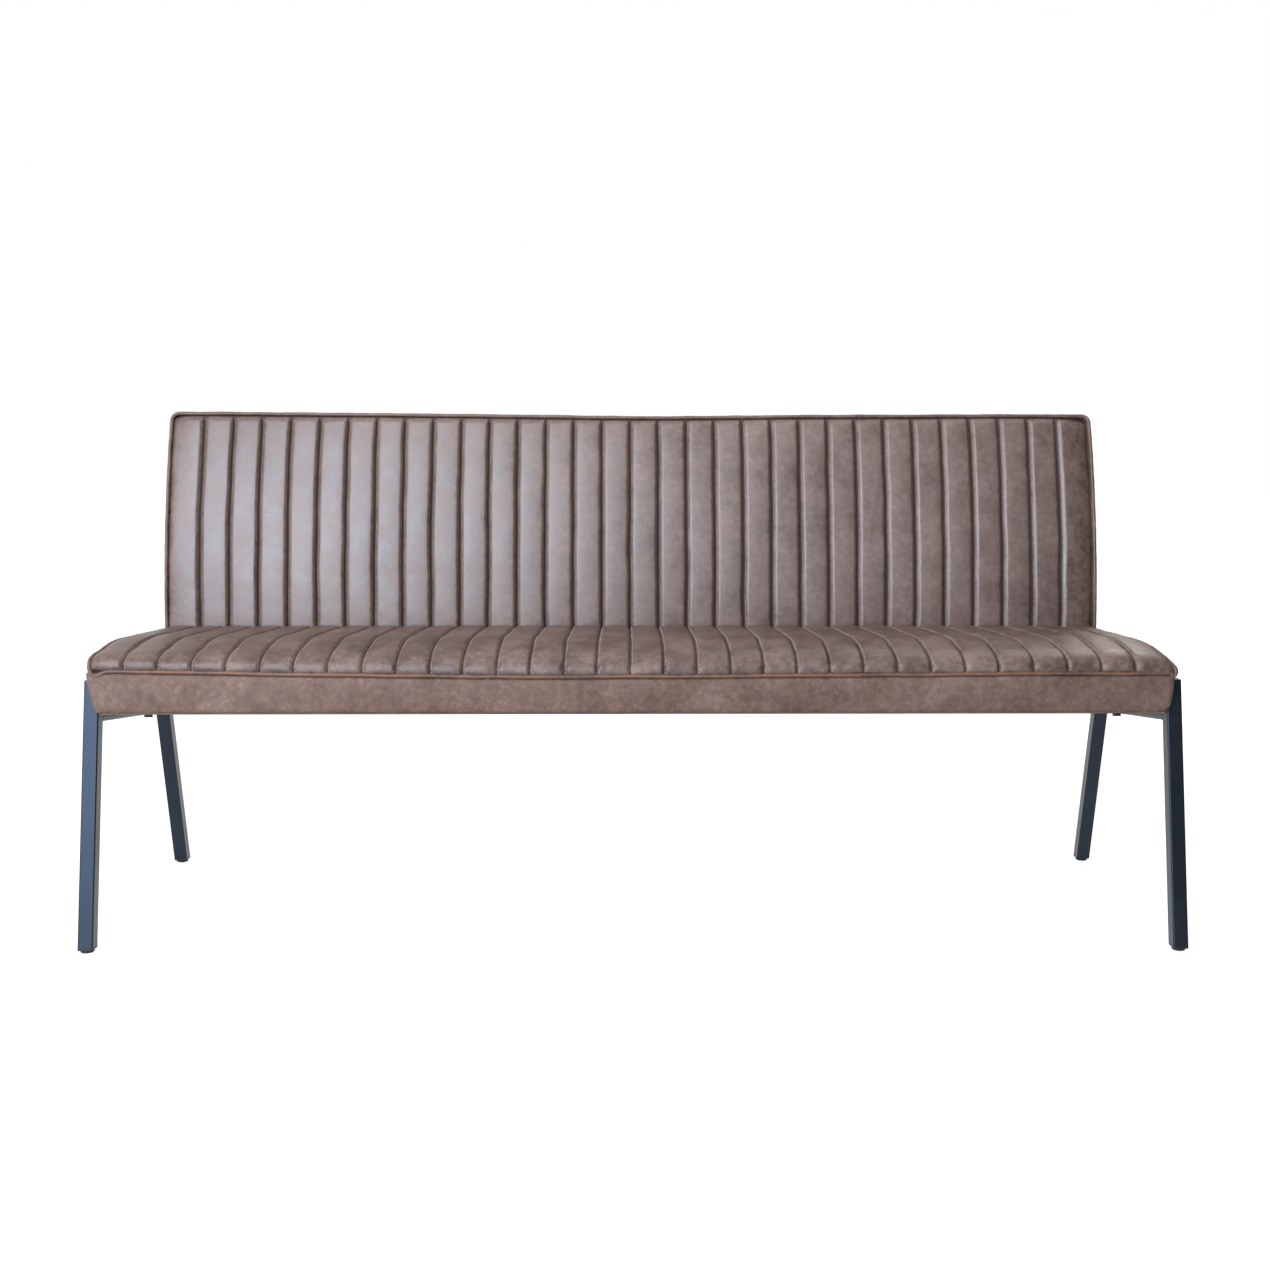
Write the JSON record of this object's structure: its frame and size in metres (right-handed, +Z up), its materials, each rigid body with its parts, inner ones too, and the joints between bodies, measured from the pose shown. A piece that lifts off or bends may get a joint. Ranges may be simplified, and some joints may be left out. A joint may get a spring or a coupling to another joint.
{
  "type": "upholstered dining bench",
  "caption": "Dining bench with a backrest, channel-quilted brown leather seat and back with piped edges, on splayed black square-tube steel legs.",
  "frame": {"origin": "on the floor, in the middle of the bench's box", "axes": "+X along the bench, to the right of a person who looks at its front; +Y from the front to the back; +Z up"},
  "size_m": [1.8, 0.663, 0.873],
  "materials": {
    "frame_steel": "black powder coat, satin",
    "foot_plastic": "black moulded plastic",
    "timber": "raw sawn timber",
    "plywood": "raw moulded plywood",
    "zinc_steel": "zinc plated",
    "webbing": "woven elastic webbing",
    "felt": "needled felt",
    "foam": "cut upholstery foam",
    "wadding": "polyester wadding",
    "leather": "matt worn vintage leather",
    "piping_leather": "worn vintage leather",
    "lining": "black lining cloth",
    "dust_cloth": "black non-woven cloth"
  },
  "bodies": {
    "root": {"left_front_leg": "frame_steel", "left_rear_leg": "frame_steel", "left_side_rail": "frame_steel", "left_seat_tabs": "frame_steel", "right_front_leg": "frame_steel", "right_rear_leg": "frame_steel", "right_side_rail": "frame_steel", "right_seat_tabs": "frame_steel", "leg_top_caps": "frame_steel", "foot_plugs": "foot_plastic", "floor_glides": "foot_plastic", "seat_front_rail": "timber", "seat_rear_rail": "timber", "seat_left_end_rail": "timber", "seat_cross_rails": "timber", "seat_right_end_rail": "timber", "seat_corner_blocks": "timber", "back_board": "plywood", "seat_bolts": "zinc_steel", "seat_washers": "zinc_steel", "seat_tee_nuts": "zinc_steel", "back_bolts": "zinc_steel", "back_washers": "zinc_steel", "back_tee_nuts": "zinc_steel", "seat_webbing": "webbing", "seat_felt": "felt", "seat_foam": "foam", "back_foam": "foam", "back_rear_wadding": "wadding", "seat_top_cover": "leather", "seat_front_border": "leather", "seat_left_border": "leather", "seat_right_border": "leather", "back_front_cover": "leather", "back_left_border": "leather", "back_right_border": "leather", "back_top_border": "leather", "back_rear_cover": "leather", "seat_piping": "piping_leather", "back_piping": "piping_leather", "seat_rear_border": "lining", "seat_dust_cover": "dust_cloth"}
  },
  "joints": []
}
